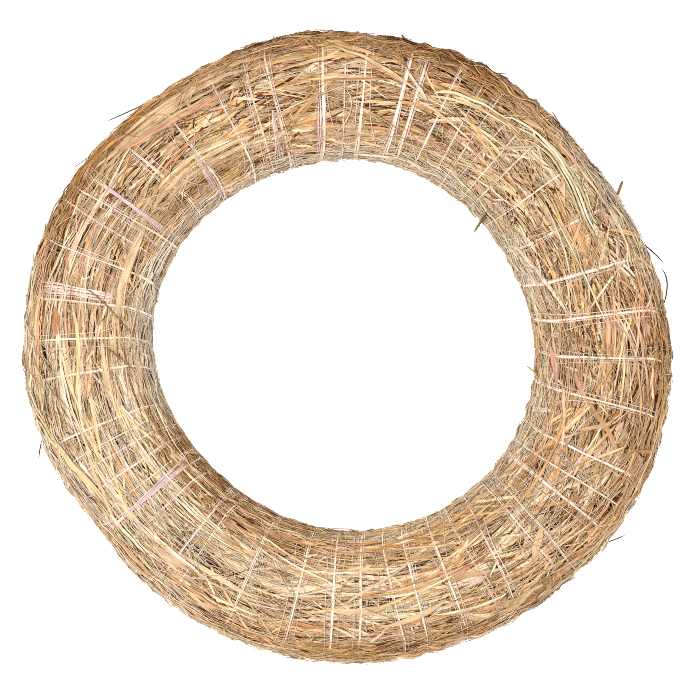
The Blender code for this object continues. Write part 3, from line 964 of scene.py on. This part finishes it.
def make_film():
    """The film thread: one helix of flat filaments that run side by side, part and meet again."""
    bundle = Bundle()
    rng = np.random.default_rng(31)
    start = (THREAD_BREAK - 90) / 360
    turns = start + np.arange(TURNS * FILM_STEPS + 1) / FILM_STEPS
    around = 90 + 360 * (turns - np.floor(turns))
    angle = angle_at(turns)
    middle, _ = rims_at(angle)
    steps = np.arange(len(turns))
    knots = np.arange(0, len(turns) + 2 * FILM_KNOT_STEPS, FILM_KNOT_STEPS)
    breadths = np.array([turn[2] for turn in TURNS_OF_THREAD])
    breadth = breadths[np.round(turns).astype(int) % TURNS]
    covered = FILM_COVERED * bell(turned_from(around, COVERED_AT), COVERED_REACH)
    for index, (width, beside, wanders, sinks) in enumerate(FILAMENTS):
        sideways = beside + np.interp(steps, knots, rng.normal(0, wanders, len(knots)))
        swell = np.interp(steps, knots, rng.uniform(0.6, 1.3, len(knots)))
        depth = np.interp(steps, knots, rng.uniform(0, 1, len(knots))) ** 2
        sunk = sinks * FILM_DIVE * depth + covered * (0.45 + depth)
        path_angle = angle + np.degrees(sideways * film_spread(around) / middle)
        points, normals = place(path_angle, around, FILM_HEIGHT + FILM_STEP_UP * index - sunk)
        twist = np.interp(steps, knots, rng.normal(0, 0.2, len(knots)))
        widths = width * swell * breadth
        tone = FILM_TONES[min(index, len(FILM_TONES) - 1)]
        bundle.add_one(points, normals, widths, np.full_like(widths, FILM_THICKNESS), twist, tone)
    lay_fans(bundle)
    return bundle


def lay_fans(bundle):
    """The places where the film has split into a fan of filaments side by side."""
    rng = np.random.default_rng(32)
    spread = np.linspace(-1, 1, FAN_SAMPLES)
    knots = np.linspace(-1, 1, FAN_WOBBLE_KNOTS)
    for tone, width, narrow, broad, route in FILM_FANS:
        angle, around = smooth_route(route, FAN_SAMPLES)
        breadth = np.interp(spread, (-1, 1), (narrow, broad))
        for beside in np.linspace(-0.5, 0.5, FAN_FILAMENTS):
            wobble = np.interp(spread, knots, rng.normal(0, 0.12, FAN_WOBBLE_KNOTS))
            path_angle = angle + breadth * (beside + wobble)
            height = FAN_HEIGHT + rng.uniform(-0.0003, 0.0003) - FAN_SINK * spread**6
            points, normals = place(path_angle, around, height)
            widths = width * rng.uniform(0.6, 1.5) * (1 - 0.7 * spread**4)
            shade = np.array(linear(*tone)) * rng.uniform(0.7, 1.1)
            thickness = np.full_like(widths, FILM_THICKNESS)
            bundle.add_one(points, normals, widths, thickness, 0.2 * spread, shade)


# ---- straw rope inside
CORE_RADIUS = (OUTER_RADIUS + INNER_RADIUS) / 2
CORE_HALF_WIDTH = (CORE_HIGH.x - CORE_LOW.x) / 2 - CORE_RADIUS
CORE_HALF_HEIGHT = (CORE_HIGH.z - CORE_LOW.z) / 2
CORE_STRAWS = 700
CORE_STRAW_SAMPLES = 9
CORE_STRAW_WIDTH = 0.0026
CORE_STRAW_LENGTHS = (0.04, 0.11)
CORE_STRAW_TONES = (linear(206, 176, 104), linear(190, 154, 84), linear(222, 196, 132))
CORE_SIDES = 6
# The core thread's turns, the degrees of ring from one to the next, and where it starts.
CORE_THREAD_TURNS = 23
CORE_THREAD_PITCH = 15
CORE_THREAD_START = 27.5
CORE_THREAD_STEPS = 24
CORE_THREAD_RISE = 0.0007
CORE_THREAD_WIDTH = 0.0007
CORE_THREAD_TONE = linear(178, 172, 158)


def core_place(angle, around, share, rise):
    """Points in the straw rope, at a share of the way out from its middle, plus a rise."""
    x, z = outline(around, CORE_HALF_WIDTH * share + rise, CORE_HALF_HEIGHT * share + rise)
    points = AXIS + from_axis(angle, CORE_RADIUS + x, z + REST_DEPTH)
    return points, from_axis(angle, np.cos(np.radians(around)), np.sin(np.radians(around)))


def make_core_straws():
    """Straws laid along the rope, most of them near its surface."""
    bundle = Bundle()
    rng = np.random.default_rng(41)
    spread = np.linspace(-0.5, 0.5, CORE_STRAW_SAMPLES)[None, :]
    length = rng.uniform(*CORE_STRAW_LENGTHS, (CORE_STRAWS, 1))
    angle = rng.uniform(-180, 180, (CORE_STRAWS, 1)) + np.degrees(length / CORE_RADIUS) * spread
    around = rng.uniform(0, 360, (CORE_STRAWS, 1)) + rng.normal(0, 10, (CORE_STRAWS, 1)) * spread
    width = CORE_STRAW_WIDTH * rng.uniform(0.7, 1.1, (CORE_STRAWS, 1)) + 0 * spread
    share = rng.uniform(0, 1, (CORE_STRAWS, 1)) ** 0.3 * (1 - width / 2 / CORE_HALF_HEIGHT)
    points, normals = core_place(angle, around, share, 0.0)
    tone = rng.integers(0, len(CORE_STRAW_TONES), CORE_STRAWS)
    tones = np.array(CORE_STRAW_TONES)[tone] * rng.uniform(0.75, 1.1, (CORE_STRAWS, 1))
    homes = (angle[:, 0], around[:, 0])
    bundle.add(points, normals, width, width * 0.9, 0 * width, tones, homes, CORE_SIDES, True)
    return bundle


def make_core_thread():
    """The thread wound round the straw rope."""
    bundle = Bundle()
    around = np.linspace(0, 360 * CORE_THREAD_TURNS, CORE_THREAD_TURNS * CORE_THREAD_STEPS + 1)
    angle = CORE_THREAD_START + around / 360 * CORE_THREAD_PITCH
    points, normals = core_place(angle, around, 1.0, CORE_THREAD_RISE)
    width = np.full(len(around), CORE_THREAD_WIDTH)
    kind = {"sides": CORE_SIDES, "round_": True}
    bundle.add_one(points, normals, width, width, 0 * width, CORE_THREAD_TONE, **kind)
    return bundle


# ---- materials
# How fine each pattern is along a strand, across it and from strand to strand.
VEIN_SCALE = (60.0, 2200.0, 40.0)
PATCH_SCALE = (90.0, 300.0, 70.0)
CREASE_SCALE = (160.0, 3000.0, 90.0)


def new_material(name):
    """A material with its node tree and its shader."""
    material = bpy.data.materials.new(name)
    material.use_nodes = True
    tree = material.node_tree
    return material, tree, tree.nodes["Principled BSDF"]


def attribute(tree, name):
    """Reads a value that each vertex of a mesh has."""
    node = tree.nodes.new("ShaderNodeAttribute")
    node.attribute_name = name
    return node


def scaled_grain(tree, scale):
    """The place in a stem's grain, scaled along it, across it and from stem to stem."""
    node = tree.nodes.new("ShaderNodeVectorMath")
    node.operation = "MULTIPLY"
    node.inputs[1].default_value = scale
    tree.links.new(attribute(tree, "grain").outputs["Vector"], node.inputs[0])
    return node.outputs[0]


def noise(tree, scale, detail):
    """Noise in a strand's grain."""
    node = tree.nodes.new("ShaderNodeTexNoise")
    node.inputs["Scale"].default_value = 1.0
    node.inputs["Detail"].default_value = detail
    tree.links.new(scaled_grain(tree, scale), node.inputs["Vector"])
    return node.outputs["Fac"]


def mapped(tree, value, from_min, from_max, to_min, to_max):
    """A value moved from one range to another, and kept inside it."""
    node = tree.nodes.new("ShaderNodeMapRange")
    node.inputs["From Min"].default_value = from_min
    node.inputs["From Max"].default_value = from_max
    node.inputs["To Min"].default_value = to_min
    node.inputs["To Max"].default_value = to_max
    tree.links.new(value, node.inputs["Value"])
    return node.outputs["Result"]


def scaled_colour(tree, colour, value):
    """A colour made darker or lighter by a value."""
    node = tree.nodes.new("ShaderNodeVectorMath")
    node.operation = "SCALE"
    tree.links.new(colour, node.inputs[0])
    tree.links.new(value, node.inputs["Scale"])
    return node.outputs[0]


def add_bump(tree, shader, height, strength, distance):
    """Relief too fine for the mesh."""
    bump = tree.nodes.new("ShaderNodeBump")
    bump.inputs["Strength"].default_value = strength
    bump.inputs["Distance"].default_value = distance
    tree.links.new(height, bump.inputs["Height"])
    tree.links.new(bump.outputs["Normal"], shader.inputs["Normal"])


def hay_material(name, vein_low, vein_high):
    """Dry stem: its own colour with fine lengthwise veins and darker stretches, waxy but dull."""
    material, tree, shader = new_material(name)
    veins = noise(tree, VEIN_SCALE, 1.0)
    patches = noise(tree, PATCH_SCALE, 3.0)
    tint = attribute(tree, "tint").outputs["Color"]
    colour = scaled_colour(tree, tint, mapped(tree, veins, 0.3, 0.7, vein_low, vein_high))
    colour = scaled_colour(tree, colour, mapped(tree, patches, 0.35, 0.55, 0.72, 1.08))
    tree.links.new(colour, shader.inputs["Base Color"])
    tree.links.new(mapped(tree, veins, 0.0, 1.0, 0.45, 0.85), shader.inputs["Roughness"])
    add_bump(tree, shader, veins, 0.35, 0.0002)
    shader.inputs["Specular IOR Level"].default_value = 0.10
    shader.inputs["Specular Tint"].default_value = (0.50, 0.32, 0.16, 1.0)
    return material


def film_material():
    """Thin milky film, slightly glossy, with lengthwise creases painted darker as their shade."""
    material, tree, shader = new_material("film")
    creases = noise(tree, CREASE_SCALE, 2.0)
    tint = attribute(tree, "tint").outputs["Color"]
    # Painted shade: the film is darker where its creases fold in.
    colour = scaled_colour(tree, tint, mapped(tree, creases, 0.3, 0.65, 0.72, 1.02))
    tree.links.new(colour, shader.inputs["Base Color"])
    tree.links.new(mapped(tree, creases, 0.0, 1.0, 0.25, 0.55), shader.inputs["Roughness"])
    add_bump(tree, shader, creases, 0.3, 0.0001)
    return material


def floor_material():
    """Plain pale floor that glows, so that the picture's ground is white."""
    material, _, shader = new_material("floor")
    shader.inputs["Base Color"].default_value = (0.70, 0.70, 0.70, 1.0)
    shader.inputs["Roughness"].default_value = 0.9
    shader.inputs["Emission Color"].default_value = WHITE
    shader.inputs["Emission Strength"].default_value = 1.0
    return material


# ---- stage, light and camera
WHITE = (1.0, 1.0, 1.0, 1.0)
FLOOR_SIZE = 6.0
FLOOR_DROP = 0.0002
SKY_STRENGTH = 1.08
# Each soft lamp: its name, diameter, power in watts and place. It points at the ring's middle.
LAMPS = (("key", 0.26, 31.0, (-0.40, -0.14, 1.45)), ("fill", 1.6, 16.0, (1.5, 0.4, 0.9)))
CAMERA_DISTANCE = 1.4
# Where the camera stands beside the rope's middle, and how much it sees across at mid-height.
CAMERA_BESIDE = (0.0007, -0.0005)
FRAME_WIDTH = 0.3288
SENSOR_WIDTH = 36.0


def make_floor():
    bpy.ops.mesh.primitive_plane_add(size=FLOOR_SIZE, location=(0, 0, -FLOOR_DROP))
    floor = bpy.context.object
    floor.name = "floor"
    floor.data.materials.append(floor_material())


def make_sky():
    """Even white light from everywhere."""
    world = bpy.data.worlds.new("studio")
    world.use_nodes = True
    background = world.node_tree.nodes["Background"]
    background.inputs["Color"].default_value = WHITE
    background.inputs["Strength"].default_value = SKY_STRENGTH
    bpy.context.scene.world = world


def make_lamp(name, size, power, location):
    lamp = bpy.data.lights.new(name, "AREA")
    lamp.shape = "DISK"
    lamp.size = size
    lamp.energy = power
    lamp_object = bpy.data.objects.new(name, lamp)
    lamp_object.location = location
    x, y, z = location
    lamp_object.rotation_euler = (0.0, math.atan2(math.hypot(x, y), z), math.atan2(y, x))
    bpy.context.scene.collection.objects.link(lamp_object)


def make_stage():
    """The floor and the light, with colours shown as they are."""
    make_floor()
    make_sky()
    for lamp in LAMPS:
        make_lamp(*lamp)
    bpy.context.scene.view_settings.view_transform = "Standard"
    # Many stems are finer than a pixel. A denoiser and a wide pixel filter would smear them.
    bpy.context.scene.cycles.use_denoising = False
    bpy.context.scene.cycles.filter_width = 1.0


def make_camera():
    """Straight above the ring, with the top of the picture along +Y."""
    camera = bpy.data.cameras.new("camera")
    camera.sensor_width = SENSOR_WIDTH
    camera.lens = SENSOR_WIDTH * CAMERA_DISTANCE / FRAME_WIDTH
    camera.clip_end = 10.0
    camera_object = bpy.data.objects.new("camera", camera)
    camera_object.location = AXIS + (*CAMERA_BESIDE, REST_DEPTH + CAMERA_DISTANCE)
    bpy.context.scene.collection.objects.link(camera_object)
    bpy.context.scene.camera = camera_object


# ---- the pieces
def make_wisps(bundle):
    """Shares the loose hay out between the wisps, and puts a packed bed under each, dark with
    painted shade.
    """
    finishes = {
        "top_hay": hay_material("top_hay", 0.66, 1.16),
        "outer_hay": hay_material("outer_hay", 0.62, 1.12),
        "inner_hay": hay_material("inner_hay", 0.64, 1.12),
    }
    step = 360 / WISPS_PER_STRAKE
    for prefix, (low, high, stagger) in STRAKES.items():
        for index in range(WISPS_PER_STRAKE):
            first = TURN_ANGLES[0] + stagger + step * index
            limits = (first, first + step, low, high)
            node = f"{prefix}_wisp_{index + 1:02d}"
            stems = bundle.mesh(f"{node}_stems", limits)
            add_piece(f"{node}_stems", stems, finishes[prefix], node)
            bed = bed_mesh(f"{node}_bed", *limits)
            add_piece(f"{node}_bed", bed, finishes[prefix], node)


def make_windings():
    """The film thread over the hay, and the bound straw rope inside it."""
    film = make_film().mesh("film")
    add_piece("film_thread_strips", film, film_material(), "film_thread")
    straws = make_core_straws().mesh("core_rope")
    straw = hay_material("core_straw", 0.70, 1.12)
    add_piece("core_rope_straws", straws, straw, "core_rope")
    line = make_core_thread().mesh("core_thread")
    twine = hay_material("core_thread", 0.75, 1.10)
    add_piece("core_thread_line", line, twine, "core_thread")


def main():
    make_stage()
    make_camera()
    make_wisps(make_hay())
    make_windings()


main()
